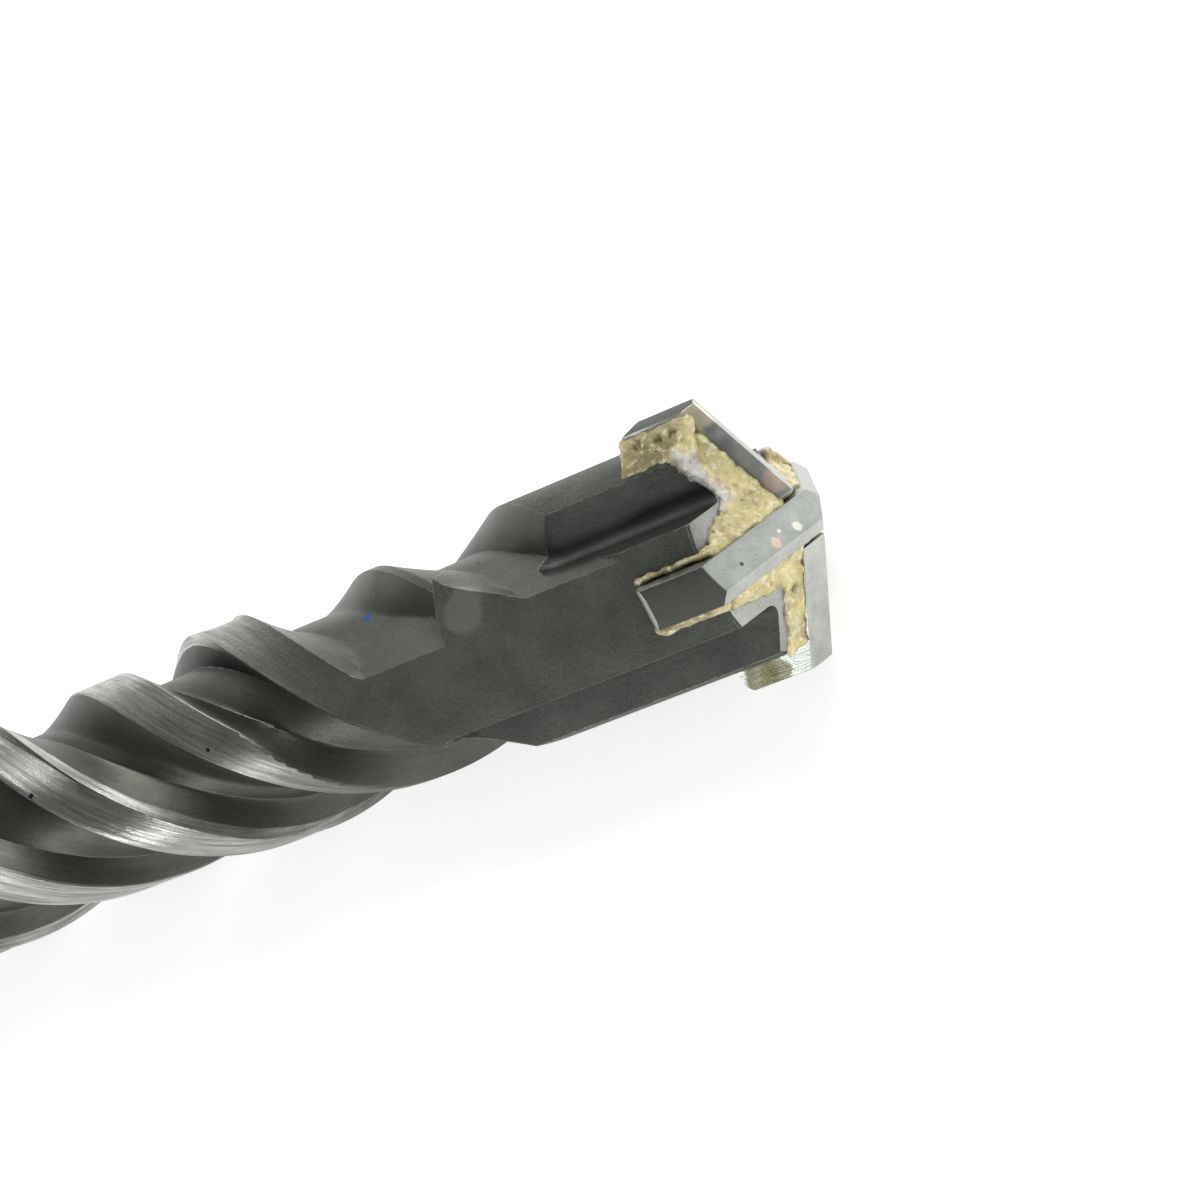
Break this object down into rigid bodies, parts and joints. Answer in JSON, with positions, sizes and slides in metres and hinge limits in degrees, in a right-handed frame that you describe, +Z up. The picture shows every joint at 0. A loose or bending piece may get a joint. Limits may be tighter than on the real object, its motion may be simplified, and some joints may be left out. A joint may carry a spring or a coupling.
{
  "type": "hammer drill bit",
  "caption": "Masonry hammer drill bit: slotted quick-change shank, spiral-fluted steel body and a cross-shaped head with brazed carbide plates.",
  "frame": {"origin": "On the floor under the middle of the bit, which lies on its main lands", "axes": "+X along the bit towards the point, +Z up"},
  "size_m": [0.21, 0.0168, 0.0168],
  "materials": {
    "tool_steel": "satin",
    "carbide": "ground",
    "braze": "as brazed"
  },
  "bodies": {
    "root": {"steel_body": "tool_steel", "main_carbide_plate": "carbide", "side_carbide_plate_a": "carbide", "side_carbide_plate_b": "carbide", "braze_filler": "braze"}
  },
  "joints": []
}
